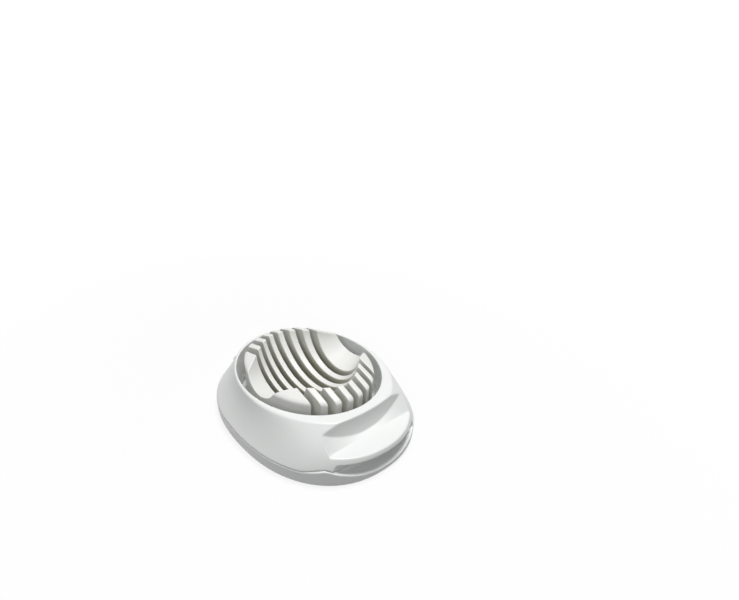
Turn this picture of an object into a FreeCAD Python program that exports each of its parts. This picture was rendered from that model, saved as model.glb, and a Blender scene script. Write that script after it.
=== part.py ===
import FreeCAD, Part
import math
import os

V = FreeCAD.Vector
os.makedirs("parts", exist_ok=True)

# Overall sizes in millimetres; Z is up, the thumb side is at minus Y
base_half_width = 46.4
base_half_length = 57.3
base_power = 2.28
base_height = 8.5
rim_height = 28.5
opening_half_width = 35.5
opening_half_length = 40.7
wire_count = 7
wire_pitch = 6.1
wall = 2.2

# Clearances
seam_gap = 0.3
hinge_gap = 0.35
side_gap = 0.3
run_fit = 0.05

# Hinge at the back
barrel_radius = 2.8
barrel_half = 8.0
lug_width = 5.0
pin_radius = 1.2
pin_head_radius = 2.0
pin_head = 0.8
pin_bury = 5.0
hinge_offset = 0.4

# The opening is the datum of the plan; the base sits a little to the front of it
base_back_shift = -3.2
rear_overhang = hinge_offset + barrel_radius
opening_y = -base_back_shift - rear_overhang / 2
base_y = opening_y + base_back_shift
hinge_y = base_y + base_half_length + hinge_offset
hinge_z = base_height + seam_gap / 2

# Lid ring
rim_half_width = opening_half_width + 1.9
rim_half_length = opening_half_length + 5.3
rim_y = opening_y - 3.2
lid_bottom = base_height + seam_gap
waist_height = rim_height / 2
waist_half_width = base_half_width - 3.4
waist_half_length = base_half_length - 1.6
waist_y = base_y - 1.4
waist_power = 2.2
collar_wall = 2.0
rim_round = 1.8

# Thumb rest and the finger gap below it
front_y = base_y - base_half_length
rest_half = 25.5
rest_back_y = opening_y - opening_half_length - 5.3
rest_crease_y = opening_y - opening_half_length - 7.8
rest_depth = 11.4
crease_depth = 11.9
lip_top_depth = 12.2
rest_sweep = 4.0
rest_bowl = 8.0
rest_lean = 0.8
lip_thickness = 2.9
finger_half = 29.0
finger_slope = 5.2
hump_height = base_height + 2.4
hump_run = 7.5
hump_wall = 2.6
hump_root = 1.0
hump_depth = 0.42 * base_half_length
finger_low = base_height - 4.0
finger_high = rim_height - lip_top_depth - lip_thickness
finger_reach = 8.0

# Slotted cradle
cradle_half_width = 30.8
cradle_half_length = 37.6
cradle_edge = rim_height + 3.3
cradle_top = rim_height + 6.1
ridge_half_width = 24.5
ridge_half_length = 29.2
slot_width = 3.0
slot_floor = base_height + 0.6
cradle_sink = 1.0
scoop_depth = 19.1
scoop_rise = 9.3
scoop_end_half = 11.5
scoop_mid_half = 29.4
peg_radius = 2.5
peg_x = 9.2
peg_reach = 31.2
drain_inset = 9.0
core_top = slot_floor + 6.5
edge_round = 1.4

# Wires, their crimped ends and the ring that traps them
wire_radius = 0.3
wire_z = base_height + 2.8
ring_low = base_height + 0.7
ring_high = base_height + 4.6
ring_reach = 5.0
crimp_radius = 0.9
crimp_flat = crimp_radius * math.cos(math.radians(30))
crimp_length = 2.6
crimp_inset = 2.3
groove_half = 0.35

# Underside of the base
deck = 3.1
foot_rim = 11.0
base_bevel = 2.2


def oval_wire(half_width, half_length, centre_y, z, power=2.0, count=24):
    """Closed smooth oval |x/a|^n + |y/b|^n = 1 drawn at height z in four quarters."""
    points = []
    for step in range(count):
        angle = 2 * math.pi * step / count
        c = math.cos(angle)
        s = math.sin(angle)
        x = half_width * math.copysign(abs(c) ** (2 / power), c)
        y = half_length * math.copysign(abs(s) ** (2 / power), s)
        points.append(V(x, centre_y + y, z))
    curve = Part.BSplineCurve()
    curve.interpolate(Points=points, PeriodicFlag=True)
    starts = [curve.parameter(points[step]) for step in range(0, count, count // 4)]
    ends = starts[1:] + [curve.LastParameter]
    return Part.Wire([curve.toShape(start, end) for start, end in zip(starts, ends)])


def oval_prism(half_width, half_length, centre_y, low, high, power=2.0):
    """Upright oval column between two heights."""
    ends = [oval_wire(half_width, half_length, centre_y, z, power) for z in (low, high)]
    return Part.makeLoft(ends, True, True)


def ellipse_prism(half_width, half_length, centre_y, low, high):
    """Elliptical column with true elliptical walls."""
    if half_length > half_width:
        ellipse = Part.Ellipse(V(0, centre_y + half_length, low), V(half_width, centre_y, low),
                               V(0, centre_y, low))
    else:
        ellipse = Part.Ellipse(V(half_width, centre_y, low), V(0, centre_y + half_length, low),
                               V(0, centre_y, low))
    return Part.Face(Part.Wire(ellipse.toShape())).extrude(V(0, 0, high - low))


def yz_prism(points, x_low, x_high):
    """Polygon given as (y, z) pairs, extruded along X."""
    corners = [V(x_low, y, z) for y, z in points]
    face = Part.Face(Part.makePolygon(corners + corners[:1]))
    return face.extrude(V(x_high - x_low, 0, 0))


def x_cylinder(radius, x_low, x_high, y=hinge_y, z=hinge_z):
    return Part.makeCylinder(radius, x_high - x_low, V(x_low, y, z), V(1, 0, 0))


def y_cylinder(radius, y_low, y_high, x, z):
    return Part.makeCylinder(radius, y_high - y_low, V(x, y_low, z), V(0, 1, 0))


def wire_xs():
    middle = (wire_count - 1) / 2
    return [(index - middle) * wire_pitch for index in range(wire_count)]


def opening_half_at(x):
    """Half length of the lid opening at a given X."""
    return opening_half_length * math.sqrt(1 - (x / opening_half_width) ** 2)


def finger_gap():
    """Lens shaped mouth for a fingertip, reaching in from the front across the seam."""
    y = front_y - wall
    left = V(-finger_half, y, hump_height)
    right = V(finger_half, y, hump_height)
    floor = Part.Arc(left, V(0, y, finger_low), right).toShape()
    top_right = V(finger_half - finger_slope, y, finger_high)
    top_left = V(finger_slope - finger_half, y, finger_high)
    roof = Part.makePolygon([right, top_right, top_left, left])
    mouth = Part.Face(Part.Wire([floor] + roof.Edges))
    return mouth.extrude(V(0, finger_reach + wall, 0))


def seam_rise(lift):
    """Two wedges beside the finger gap where the seam climbs to the lip."""
    wedges = []
    y = front_y - wall
    for side in (-1, 1):
        corners = [V(side * (finger_half + hump_run), y, base_height + lift),
                   V(side * finger_half, y, hump_height + lift),
                   V(side * (finger_half - hump_run), y, base_height + lift)]
        face = Part.Face(Part.makePolygon(corners + corners[:1]))
        wedges.append(face.extrude(V(0, hump_depth, 0)))
    return wedges[0].fuse(wedges[1])


def base_humps():
    """The wedges as the base carries them, a thin wall along its outline."""
    low = base_height - hump_root
    outer = oval_prism(base_half_width, base_half_length, base_y, low, hump_height, base_power)
    inner = oval_prism(base_half_width - hump_wall, base_half_length - hump_wall, base_y, low,
                       hump_height, base_power)
    return seam_rise(0).common(outer).cut(inner)


def thumb_cut(grow=0.0):
    """Space above the thumb rest: dished floor behind a straight crease, then the sloping lip."""
    above = rim_height + 2 * wall
    fall = (lip_top_depth - crease_depth) / (rest_crease_y - front_y)
    out_y = front_y - 2 * wall
    sections = []
    for share in (-1, -0.5, 0, 0.5, 1):
        bow = share * share
        floor_y = rest_back_y + rest_sweep * bow + grow
        floor_z = rim_height - rest_depth + rest_bowl * bow - grow
        crease_z = rim_height - crease_depth - grow
        out_z = crease_z - fall * (rest_crease_y - out_y)
        x = share * (rest_half + grow)
        outline = [(floor_y + rest_lean, above), (floor_y, floor_z), (rest_crease_y, crease_z),
                   (out_y, out_z), (out_y, above)]
        corners = [V(x, y, z) for y, z in outline]
        sections.append(Part.makePolygon(corners + corners[:1]))
    return Part.makeLoft(sections, True, False)


def lid_loft(inset, low, high, straight):
    """Flared body of the lid, set in from its outer face: full at the front up to the lip."""
    bottom = oval_wire(base_half_width - inset, base_half_length - inset, base_y, low, base_power)
    middle = oval_wire(waist_half_width - inset, waist_half_length - inset, waist_y, waist_height,
                       waist_power)
    top = oval_wire(rim_half_width - inset, rim_half_length - inset, rim_y, high)
    return Part.makeLoft([bottom, middle, top], True, straight)


def rounded_rim():
    """Top of the lid, drawn in towards the rim in a rounded shoulder."""
    rings = []
    for angle in (30, 50, 70, 90):
        turn = math.radians(angle)
        inset = rim_round * (math.cos(math.radians(30)) - math.cos(turn))
        z = rim_height - rim_round * (1 - math.sin(turn))
        rings.append(oval_wire(rim_half_width - inset, rim_half_length - inset, rim_y, z))
    return Part.makeLoft(rings, True, True)


def lid_lugs():
    """Two hinge knuckles that stand off the back wall of the lid."""
    lugs = []
    for side in (-1, 1):
        near = side * (barrel_half + side_gap)
        far = near + side * lug_width
        low, high = sorted((near, far))
        arm = [(hinge_y - barrel_radius * 0.2, hinge_z + barrel_radius * 0.97),
               (hinge_y - 2.9 * barrel_radius, hinge_z + 3.2 * barrel_radius),
               (hinge_y - 2.1 * barrel_radius, lid_bottom), (hinge_y, lid_bottom)]
        lugs.append(x_cylinder(barrel_radius, low, high).fuse(yz_prism(arm, low, high)))
    return lugs[0].fuse(lugs[1])


def solid_lip():
    """Front of the lid that stays solid round the finger gap."""
    half = finger_half + wall
    depth = finger_reach + wall
    return Part.makeBox(2 * half, depth + wall, rim_height, V(-half, front_y - wall, 0))


def make_lid():
    body = lid_loft(0, lid_bottom, rim_height - rim_round / 2, False).fuse(rounded_rim())
    hollow = lid_loft(wall, lid_bottom - run_fit, rim_height - wall, True)
    hollow = hollow.cut(ellipse_prism(opening_half_width + collar_wall, opening_half_length + collar_wall,
                                      opening_y, 0, rim_height))
    hollow = hollow.cut(thumb_cut(wall)).cut(solid_lip())
    body = body.cut(hollow)
    body = body.cut(thumb_cut()).cut(finger_gap()).cut(seam_rise(seam_gap))
    body = body.cut(ellipse_prism(opening_half_width, opening_half_length, opening_y, 0, rim_height + 5))
    ring_room = ellipse_prism(opening_half_width + ring_reach, opening_half_length + ring_reach,
                              opening_y, 0, ring_high)
    body = body.cut(ring_room)
    body = body.cut(x_cylinder(barrel_radius + hinge_gap, -barrel_half - side_gap, barrel_half + side_gap))
    body = body.fuse(lid_lugs())
    reach = barrel_half + side_gap + lug_width + 1
    body = body.cut(x_cylinder(pin_radius + run_fit, -reach, reach))
    return body.removeSplitter()


def make_base():
    rings = []
    for inset, z in ((base_bevel, 0), (base_bevel * 0.3, base_bevel * 0.35), (0, base_bevel * 1.4),
                     (0, base_height)):
        rings.append(oval_wire(base_half_width - inset, base_half_length - inset, base_y, z, base_power))
    body = Part.makeLoft(rings, True, True)
    inside = oval_prism(base_half_width - foot_rim, base_half_length - foot_rim, base_y, -1,
                        base_height - deck, base_power)
    body = body.cut(inside)
    root_y = hinge_y - 2.1 * barrel_radius
    arm = [(hinge_y, hinge_z - barrel_radius), (hinge_y, hinge_z), (root_y, base_height),
           (root_y, hinge_z - barrel_radius)]
    lug_reach = barrel_half + side_gap + lug_width + pin_head + side_gap
    body = body.cut(x_cylinder(barrel_radius + hinge_gap, -lug_reach, lug_reach))
    body = body.fuse(yz_prism(arm, -barrel_half, barrel_half))
    body = body.fuse(x_cylinder(barrel_radius, -barrel_half, barrel_half))
    body = body.cut(x_cylinder(pin_radius, -barrel_half, -barrel_half + pin_bury))
    body = body.cut(x_cylinder(pin_radius, barrel_half - pin_bury, barrel_half))
    body = body.fuse(base_humps())
    body = body.cut(finger_gap())
    body = body.cut(cradle_foot())
    for peg in cradle_pegs():
        body = body.cut(peg)
    for core in end_cores(0) + drains():
        body = body.cut(core)
    return body.removeSplitter()


def cradle_foot():
    return oval_prism(cradle_half_width, cradle_half_length, opening_y, base_height - cradle_sink,
                      base_height)


def cradle_pegs():
    """Four round pegs that hold the cradle in the deck."""
    pegs = []
    for x_side in (-1, 1):
        for y_side in (-1, 1):
            spot = V(x_side * peg_x, opening_y + y_side * peg_reach, base_height - deck)
            pegs.append(Part.makeCylinder(peg_radius, deck, spot))
    return pegs


def drains():
    """Openings through the floor of the slots, clear of the ends that tie the fins together."""
    cuts = []
    for x in wire_xs():
        half = cradle_half_length * math.sqrt(1 - (x / cradle_half_width) ** 2) - drain_inset
        cuts.append(Part.makeBox(slot_width, 2 * half, slot_floor, V(x - slot_width / 2, opening_y - half, 0)))
    return cuts


def end_cores(low):
    """Hollows cored up from below into the two end blocks of the cradle."""
    last_slot = wire_xs()[-1] + slot_width / 2
    inner = last_slot + wall
    column = ellipse_prism(cradle_half_width - wall, cradle_half_length - wall, opening_y, low,
                           core_top)
    length = cradle_half_length
    strip = Part.makeBox(cradle_half_width, length, rim_height, V(inner, opening_y - length / 2, low))
    right = column.common(strip)
    return [right, right.mirror(V(0, 0, 0), V(1, 0, 0))]


def scoop():
    """Egg shaped hollow along the cradle, narrowing and rising to each end."""
    sections = []
    top = cradle_top + 2
    for step in range(-4, 5):
        x = step / 4 * (cradle_half_width + 3)
        swing = math.cos(math.pi * x / (2.14 * cradle_half_width)) ** 2
        half = scoop_end_half + (scoop_mid_half - scoop_end_half) * swing
        depth = scoop_depth - scoop_rise * (x / cradle_half_width) ** 2
        radius = (depth * depth + half * half) / (2 * depth)
        low = cradle_top - depth
        top_half = math.sqrt(radius ** 2 - (radius - (top - low)) ** 2)
        left = V(x, opening_y - top_half, top)
        right = V(x, opening_y + top_half, top)
        arc = Part.Arc(left, V(x, opening_y, low), right).toShape()
        sections.append(Part.Wire([arc, Part.makeLine(right, left)]))
    return Part.makeLoft(sections, True, False)


def make_cradle():
    rings = [oval_wire(cradle_half_width, cradle_half_length, opening_y, base_height - cradle_sink)]
    for inset, drop in ((0, edge_round), (edge_round * 0.25, edge_round * 0.35), (edge_round, -0.3)):
        rings.append(oval_wire(cradle_half_width - inset, cradle_half_length - inset, opening_y,
                               cradle_edge - drop))
    rings.append(oval_wire(ridge_half_width, ridge_half_length, opening_y, cradle_top))
    body = Part.makeLoft(rings, True, True)
    body = body.cut(scoop())
    for x in wire_xs():
        slot = Part.makeBox(slot_width, 3 * cradle_half_length, cradle_top,
                           V(x - slot_width / 2, opening_y - 1.5 * cradle_half_length, slot_floor))
        body = body.cut(slot)
    for core in end_cores(0) + drains():
        body = body.cut(core)
    for peg in cradle_pegs():
        body = body.fuse(peg)
    return body.removeSplitter()


def make_ring():
    """Ring under the lid with grooves and pockets that trap the wire ends."""
    ring = ellipse_prism(opening_half_width + ring_reach, opening_half_length + ring_reach, opening_y,
                         ring_low, ring_high)
    ring = ring.cut(ellipse_prism(opening_half_width, opening_half_length, opening_y, 0, rim_height))
    for x in wire_xs():
        for side in (-1, 1):
            start, end = crimp_span(x, side)
            deep = opening_half_at(x) + crimp_inset + crimp_length / 2
            low, high = sorted((opening_y, opening_y + side * deep))
            groove = Part.makeBox(2 * groove_half, high - low, ring_high,
                                  V(x - groove_half, low, wire_z - wire_radius))
            pocket = Part.makeBox(2 * crimp_radius, end - start, ring_high,
                                  V(x - crimp_radius, start, wire_z - crimp_flat))
            ring = ring.cut(groove).cut(pocket)
    return ring.removeSplitter()


def crimp_span(x, side):
    """Low and high Y of the crimp on one end of a wire."""
    near = opening_y + side * (opening_half_at(x) + crimp_inset)
    low, high = sorted((near, near + side * crimp_length))
    return low, high


def make_wire(x):
    low = crimp_span(x, -1)[0]
    high = crimp_span(x, 1)[1]
    return y_cylinder(wire_radius, low, high, x, wire_z)


def make_crimps(x):
    """Six sided crimped sleeves on the two ends of a wire."""
    crimps = []
    for side in (-1, 1):
        low, high = crimp_span(x, side)
        corners = []
        for corner in range(6):
            turn = math.radians(60 * corner)
            corners.append(V(x + crimp_radius * math.cos(turn), low, wire_z + crimp_radius * math.sin(turn)))
        sleeve = Part.Face(Part.makePolygon(corners + corners[:1])).extrude(V(0, high - low, 0))
        crimps.append(sleeve.cut(y_cylinder(wire_radius, low, high, x, wire_z)))
    return Part.makeCompound(crimps)


def make_pin(side):
    inner = barrel_half - pin_bury
    outer = barrel_half + side_gap + lug_width + run_fit
    shaft = x_cylinder(pin_radius, inner, outer + pin_head)
    pin = shaft.fuse(x_cylinder(pin_head_radius, outer, outer + pin_head)).removeSplitter()
    if side < 0:
        pin = pin.mirror(V(0, 0, 0), V(1, 0, 0))
    return pin


def export(name, shape):
    shape.exportStep("parts/" + name + ".step")


export("base", make_base())
export("cradle", make_cradle())
export("hinge_pin_left", make_pin(-1))
export("hinge_pin_right", make_pin(1))
export("lid", make_lid())
export("wire_ring", make_ring())
for index, wire_x in enumerate(wire_xs()):
    export("slicing_wire_" + str(index + 1), make_wire(wire_x))
    export("wire_crimps_" + str(index + 1), make_crimps(wire_x))
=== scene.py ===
import bpy
import math
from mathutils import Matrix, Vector


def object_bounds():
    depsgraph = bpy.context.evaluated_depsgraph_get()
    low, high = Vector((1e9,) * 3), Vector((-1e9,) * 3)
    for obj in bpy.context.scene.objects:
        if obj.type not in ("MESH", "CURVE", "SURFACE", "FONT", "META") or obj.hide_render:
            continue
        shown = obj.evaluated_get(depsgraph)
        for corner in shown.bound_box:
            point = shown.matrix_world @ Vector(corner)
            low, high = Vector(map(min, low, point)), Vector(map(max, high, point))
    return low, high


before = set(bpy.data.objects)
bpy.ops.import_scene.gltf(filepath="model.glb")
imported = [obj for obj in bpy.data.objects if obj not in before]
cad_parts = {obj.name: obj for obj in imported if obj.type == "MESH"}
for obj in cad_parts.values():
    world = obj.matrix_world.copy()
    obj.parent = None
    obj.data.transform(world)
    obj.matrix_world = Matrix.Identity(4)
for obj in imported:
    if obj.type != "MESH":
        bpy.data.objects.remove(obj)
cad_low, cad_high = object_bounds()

MM = 0.001

# Slots of the cradle; SLOT_WALL is a little over half the width of a slot
SLOT_PITCH = 6.1 * MM
SLOT_WALL = 1.55 * MM
SLOT_FLOOR = 9.1 * MM
SLOTS_EACH_SIDE = 3

# Painted shade on the walls of the slots, a darker colour in place of the shade deep in them: its soft
# edge, and how it thins out with height
SLOT_SHADE_EDGE = 0.4 * MM
SLOT_SHADE_FULL_AT = 14 * MM
SLOT_SHADE_LEAST_AT = 26 * MM
SLOT_SHADE_LEAST = 0.25
FLOOR_UNSHADED_TO = SLOT_FLOOR + 0.3 * MM
WALL_SHADE_FROM = SLOT_FLOOR + 2 * MM

# Passes that even out the closed skin of a moulding
POLISH_TURNS = 3

# Size of the photograph, and the middle of the lid's opening
IMAGE_WIDTH = 739
IMAGE_HEIGHT = 600
OPENING = Vector((0.0, 1.6, 28.5)) * MM

# Paper under the object and light from the studio; SHADE_ENDS and FAR_PAPER are distances from the
# middle of the object, counted in halves of its width and length
FLOOR_SIZE = 6.0
PAPER_WHITE = 0.95
PAPER_GLOW = 0.86
PAPER_BOUNCE = 0.20
SKY_LIGHT = 0.26
SHADE_ENDS = (0.86, 0.96)
FAR_PAPER = (1.6, 4.5)
LAMP_TARGET = (0, 0, 0.02)


def new_material(name):
    """Empty node material with its shader."""
    material = bpy.data.materials.new(name)
    material.use_nodes = True
    tree = material.node_tree
    shader = tree.nodes["Principled BSDF"]
    return material, tree, shader


def add_node(tree, kind, **values):
    """Node of one kind with its settings."""
    node = tree.nodes.new(kind)
    for key, value in values.items():
        setattr(node, key, value)
    return node


def noise(tree, scale, detail, roughness):
    """Noise in the piece's own coordinates, so that it moves with the piece."""
    place = add_node(tree, "ShaderNodeTexCoord")
    node = add_node(tree, "ShaderNodeTexNoise")
    node.inputs["Scale"].default_value = scale
    node.inputs["Detail"].default_value = detail
    node.inputs["Roughness"].default_value = roughness
    tree.links.new(place.outputs["Object"], node.inputs["Vector"])
    return node


def ramp(tree, source, low, high, low_at=0.35, high_at=0.65):
    """Turns a value into a colour between two ends."""
    node = add_node(tree, "ShaderNodeValToRGB")
    first, last = node.color_ramp.elements
    first.position = low_at
    first.color = low
    last.position = high_at
    last.color = high
    tree.links.new(source, node.inputs["Fac"])
    return node


def grey(value):
    return (value, value, value, 1.0)


def measure(tree, operation, first, second=None):
    """One step of arithmetic on sockets or plain numbers."""
    node = add_node(tree, "ShaderNodeMath", operation=operation)
    for socket, value in zip(node.inputs, (first, second)):
        if isinstance(value, bpy.types.NodeSocket):
            tree.links.new(value, socket)
        elif value is not None:
            socket.default_value = value
    return node.outputs["Value"]


def fade(tree, value, start, end, start_share=0.0, end_share=1.0):
    """Share that goes evenly from one value to another and stays there beyond."""
    node = add_node(tree, "ShaderNodeMapRange")
    node.inputs["From Min"].default_value = start
    node.inputs["From Max"].default_value = end
    node.inputs["To Min"].default_value = start_share
    node.inputs["To Max"].default_value = end_share
    tree.links.new(value, node.inputs["Value"])
    return node.outputs["Result"]


def slot_painted_shade(tree):
    """Share of painted shade: on the walls of the seven slots, stronger lower down, not on the floors."""
    place = add_node(tree, "ShaderNodeTexCoord")
    split = add_node(tree, "ShaderNodeSeparateXYZ")
    tree.links.new(place.outputs["Object"], split.inputs["Vector"])
    across = split.outputs["X"]
    height = split.outputs["Z"]
    steps = measure(tree, "ADD", measure(tree, "DIVIDE", across, SLOT_PITCH), 0.5)
    off_slot = measure(tree, "ABSOLUTE", measure(tree, "SUBTRACT", measure(tree, "FRACT", steps), 0.5))
    wall_at = SLOT_WALL / SLOT_PITCH
    pale_at = (SLOT_WALL + SLOT_SHADE_EDGE) / SLOT_PITCH
    in_slot = fade(tree, off_slot, wall_at, pale_at, 1.0, 0.0)
    last_wall = SLOTS_EACH_SIDE * SLOT_PITCH + SLOT_WALL
    off_middle = measure(tree, "ABSOLUTE", across)
    in_row = fade(tree, off_middle, last_wall, last_wall + SLOT_SHADE_EDGE, 1.0, 0.0)
    depth = fade(tree, height, SLOT_SHADE_FULL_AT, SLOT_SHADE_LEAST_AT, 1.0, SLOT_SHADE_LEAST)
    off_floor = fade(tree, height, FLOOR_UNSHADED_TO, WALL_SHADE_FROM)
    share = measure(tree, "MULTIPLY", in_slot, in_row)
    return measure(tree, "MULTIPLY", measure(tree, "MULTIPLY", share, depth), off_floor)


def moulded_plastic(name, pale, deep, rough_low, rough_high, glow_through):
    """Moulded plastic with faint flow marks, a soft orange peel and uneven polish."""
    material, tree, shader = new_material(name)
    flow = noise(tree, scale=38.0, detail=5.0, roughness=0.55)
    colour = ramp(tree, flow.outputs["Fac"], deep, pale)
    tree.links.new(colour.outputs["Color"], shader.inputs["Base Color"])
    wear = noise(tree, scale=160.0, detail=4.0, roughness=0.6)
    polish = ramp(tree, wear.outputs["Fac"], grey(rough_low), grey(rough_high), low_at=0.3, high_at=0.75)
    tree.links.new(polish.outputs["Color"], shader.inputs["Roughness"])
    peel = noise(tree, scale=900.0, detail=2.0, roughness=0.5)
    lift = add_node(tree, "ShaderNodeBump")
    lift.inputs["Strength"].default_value = 0.05
    lift.inputs["Distance"].default_value = 0.04 * MM
    tree.links.new(peel.outputs["Fac"], lift.inputs["Height"])
    tree.links.new(lift.outputs["Normal"], shader.inputs["Normal"])
    shader.inputs["IOR"].default_value = 1.46
    shader.inputs["Subsurface Weight"].default_value = glow_through
    shader.inputs["Subsurface Radius"].default_value = (2.5 * MM, 2.2 * MM, 1.8 * MM)
    return material


def paint_slot_shade(material, shade_colour):
    """Paints shade into the walls of the slots: a darker, warmer colour in place of the shade deep in them.
    """
    tree = material.node_tree
    target = tree.nodes["Principled BSDF"].inputs["Base Color"]
    pale = target.links[0].from_socket
    mix = add_node(tree, "ShaderNodeMix", data_type="RGBA")
    mix.inputs["B"].default_value = shade_colour
    tree.links.new(pale, mix.inputs["A"])
    tree.links.new(slot_painted_shade(tree), mix.inputs["Factor"])
    tree.links.new(mix.outputs["Result"], target)


def drawn_steel(name, pale, deep, rough_low, rough_high, stretch):
    """Drawn or turned steel with fine marks along its length."""
    material, tree, shader = new_material(name)
    place = add_node(tree, "ShaderNodeTexCoord")
    spread = add_node(tree, "ShaderNodeMapping")
    spread.inputs["Scale"].default_value = stretch
    tree.links.new(place.outputs["Object"], spread.inputs["Vector"])
    marks = add_node(tree, "ShaderNodeTexNoise")
    marks.inputs["Scale"].default_value = 1.0
    marks.inputs["Detail"].default_value = 3.0
    tree.links.new(spread.outputs["Vector"], marks.inputs["Vector"])
    colour = ramp(tree, marks.outputs["Fac"], deep, pale)
    tree.links.new(colour.outputs["Color"], shader.inputs["Base Color"])
    polish = ramp(tree, marks.outputs["Fac"], grey(rough_low), grey(rough_high))
    tree.links.new(polish.outputs["Color"], shader.inputs["Roughness"])
    shader.inputs["Metallic"].default_value = 1.0
    return material


def dress(node, material):
    """Gives a CAD node its material and returns it."""
    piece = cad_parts[node]
    piece.data.materials.clear()
    piece.data.materials.append(material)
    return piece


def smooth_over(piece, name, turns):
    """Evens out the surface in a number of passes."""
    smooth = piece.modifiers.new(name, "SMOOTH")
    smooth.factor = 0.5
    smooth.iterations = turns


def soften(piece, depth, turns, voxel, keep):
    """Rounds the edges of a moulded node the way a mould does, and closes it as one even skin."""
    even = piece.modifiers.new("even mesh", "REMESH")
    even.mode = "SHARP"
    even.octree_depth = depth
    even.scale = 0.95
    smooth_over(piece, "rounded edges", turns)
    skin = piece.modifiers.new("closed skin", "REMESH")
    skin.mode = "VOXEL"
    skin.voxel_size = voxel
    skin.use_smooth_shade = True
    smooth_over(piece, "polished skin", POLISH_TURNS)
    thin = piece.modifiers.new("fewer faces", "DECIMATE")
    thin.ratio = keep


def dress_all():
    """Plastic on the four mouldings and steel on the pins, wires and crimps."""
    white = moulded_plastic("white moulded plastic", pale=(0.885, 0.90, 0.888, 1),
                            deep=(0.872, 0.888, 0.876, 1), rough_low=0.32, rough_high=0.40,
                            glow_through=0.05)
    cream = moulded_plastic("cradle plastic", pale=(0.875, 0.878, 0.85, 1),
                            deep=(0.862, 0.864, 0.832, 1), rough_low=0.36, rough_high=0.48,
                            glow_through=0.0)
    # Painted shade: a darker, warmer colour on the walls of the cradle's slots, in place of shade
    paint_slot_shade(cream, shade_colour=(0.52, 0.51, 0.42, 1))
    wire = drawn_steel("drawn wire steel", pale=(0.78, 0.78, 0.79, 1), deep=(0.58, 0.58, 0.60, 1),
                       rough_low=0.18, rough_high=0.34, stretch=(9000.0, 120.0, 9000.0))
    turned = drawn_steel("turned pin steel", pale=(0.80, 0.80, 0.81, 1), deep=(0.60, 0.60, 0.62, 1),
                         rough_low=0.14, rough_high=0.26, stretch=(7000.0, 600.0, 600.0))
    for name in ("base", "lid"):
        soften(dress(name, white), depth=9, turns=22, voxel=0.25 * MM, keep=0.16)
    soften(dress("wire_ring", white), depth=9, turns=8, voxel=0.2 * MM, keep=0.16)
    soften(dress("cradle", cream), depth=8, turns=6, voxel=0.25 * MM, keep=0.12)
    for name in ("hinge_pin_left", "hinge_pin_right"):
        dress(name, turned)
    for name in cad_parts:
        if name.startswith("slicing_wire") or name.startswith("wire_crimps"):
            dress(name, wire)


def seen_directly(tree):
    """One for rays that show the background itself: from the lens, off gloss or through clear parts."""
    path = add_node(tree, "ShaderNodeLightPath")
    seen = path.outputs["Is Camera Ray"]
    for kind in ("Is Glossy Ray", "Is Transmission Ray"):
        seen = measure(tree, "MAXIMUM", seen, path.outputs[kind])
    return seen


def clear_of_object(tree):
    """Share of glow on the paper: none under the base, most of it beside the object, all of it far off."""
    half_width = (cad_high[0] - cad_low[0]) / 2
    half_length = (cad_high[1] - cad_low[1]) / 2
    place = add_node(tree, "ShaderNodeTexCoord")
    spread = add_node(tree, "ShaderNodeMapping")
    spread.inputs["Scale"].default_value = (1 / half_width, 1 / half_length, 0.0)
    tree.links.new(place.outputs["Object"], spread.inputs["Vector"])
    reach = add_node(tree, "ShaderNodeVectorMath", operation="LENGTH")
    tree.links.new(spread.outputs["Vector"], reach.inputs[0])
    beside = fade(tree, reach.outputs["Value"], *SHADE_ENDS, 0.0, PAPER_GLOW)
    far_off = fade(tree, reach.outputs["Value"], *FAR_PAPER, 0.0, 1.0 - PAPER_GLOW)
    return measure(tree, "ADD", beside, far_off)


def make_floor():
    """Paper that looks white, keeps a faint shadow and gives the object only a little light back."""
    bpy.ops.mesh.primitive_plane_add(size=FLOOR_SIZE, location=(0, 0, 0))
    floor = bpy.context.object
    floor.name = "studio_floor"
    material, tree, shader = new_material("white paper")
    shader.inputs["Base Color"].default_value = grey(PAPER_BOUNCE)
    shader.inputs["Roughness"].default_value = 0.9
    paper = add_node(tree, "ShaderNodeBsdfDiffuse")
    paper.inputs["Color"].default_value = grey(PAPER_WHITE)
    glow = add_node(tree, "ShaderNodeEmission")
    glow.inputs["Strength"].default_value = 1.0
    sheet = add_node(tree, "ShaderNodeMixShader")
    tree.links.new(clear_of_object(tree), sheet.inputs["Fac"])
    tree.links.new(paper.outputs["BSDF"], sheet.inputs[1])
    tree.links.new(glow.outputs["Emission"], sheet.inputs[2])
    mix = add_node(tree, "ShaderNodeMixShader")
    tree.links.new(seen_directly(tree), mix.inputs["Fac"])
    tree.links.new(shader.outputs["BSDF"], mix.inputs[1])
    tree.links.new(sheet.outputs["Shader"], mix.inputs[2])
    tree.links.new(mix.outputs["Shader"], tree.nodes["Material Output"].inputs["Surface"])
    floor.data.materials.append(material)


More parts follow.
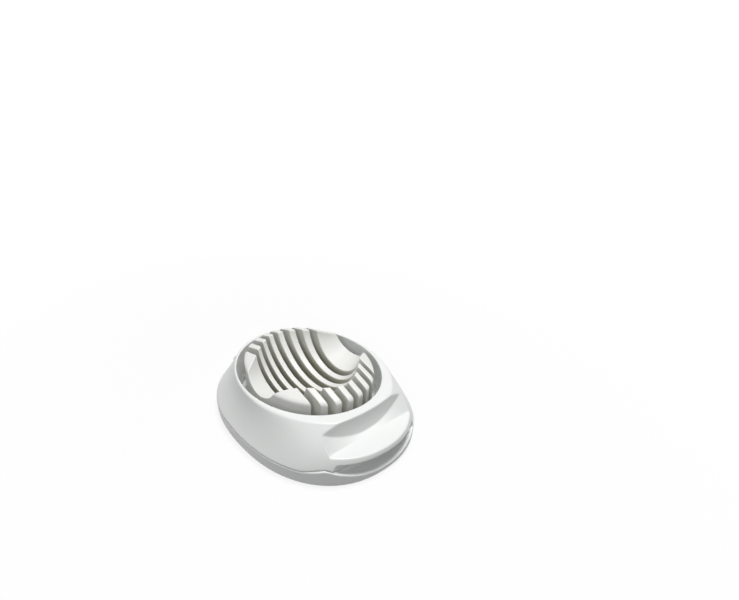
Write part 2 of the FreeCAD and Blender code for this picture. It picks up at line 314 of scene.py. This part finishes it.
def make_world():
    """Even light from all round, and a white backdrop where it is seen itself."""
    world = bpy.data.worlds.new("studio")
    bpy.context.scene.world = world
    world.use_nodes = True
    tree = world.node_tree
    sky = tree.nodes["Background"]
    sky.inputs["Color"].default_value = grey(1.0)
    sky.inputs["Strength"].default_value = SKY_LIGHT
    clear = add_node(tree, "ShaderNodeBackground")
    clear.inputs["Color"].default_value = grey(1.0)
    clear.inputs["Strength"].default_value = 1.0
    mix = add_node(tree, "ShaderNodeMixShader")
    tree.links.new(seen_directly(tree), mix.inputs["Fac"])
    tree.links.new(sky.outputs["Background"], mix.inputs[1])
    tree.links.new(clear.outputs["Background"], mix.inputs[2])
    tree.links.new(mix.outputs["Shader"], tree.nodes["World Output"].inputs["Surface"])


def area_light(name, place, size, power):
    """Round softbox turned to the object."""
    data = bpy.data.lights.new(name, "AREA")
    data.energy = power
    data.shape = "DISK"
    data.size = size
    lamp = bpy.data.objects.new(name, data)
    bpy.context.scene.collection.objects.link(lamp)
    lamp.location = place
    aim = Vector(LAMP_TARGET) - Vector(place)
    lamp.rotation_mode = "QUATERNION"
    lamp.rotation_quaternion = aim.to_track_quat("-Z", "Y")


def direction(turn, rise):
    """Unit vector to a place that is turned round the object from its front and raised."""
    return Vector((math.sin(turn) * math.cos(rise), -math.cos(turn) * math.cos(rise), math.sin(rise)))


def make_camera():
    """Pinhole camera of the photograph: it stands at the front left and looks down."""
    place_turn = math.radians(-37.07)
    place_rise = math.radians(34.59)
    distance = 240.76 * MM
    turn = math.radians(-38.15)
    rise = math.radians(39.65)
    focal = 461.2
    centre_x = 315
    centre_y = 407
    out = direction(place_turn, place_rise)
    back = direction(turn, rise)
    data = bpy.data.cameras.new("photo_camera")
    data.sensor_width = 36.0
    data.lens = focal / IMAGE_WIDTH * data.sensor_width
    data.shift_x = (IMAGE_WIDTH / 2 - centre_x) / IMAGE_WIDTH
    data.shift_y = (centre_y - IMAGE_HEIGHT / 2) / IMAGE_WIDTH
    data.clip_start = 0.005
    data.clip_end = 20.0
    camera = bpy.data.objects.new("photo_camera", data)
    bpy.context.scene.collection.objects.link(camera)
    camera.location = OPENING + out * distance
    camera.rotation_mode = "QUATERNION"
    camera.rotation_quaternion = (-back).to_track_quat("-Z", "Y")
    bpy.context.scene.camera = camera


dress_all()
make_floor()
make_world()
area_light("top softbox", place=(0.06, -0.07, 0.72), size=0.24, power=3.45)
area_light("left fill", place=(-0.60, -0.25, 0.40), size=0.50, power=0.8)
make_camera()
bpy.context.scene.view_settings.view_transform = "Standard"
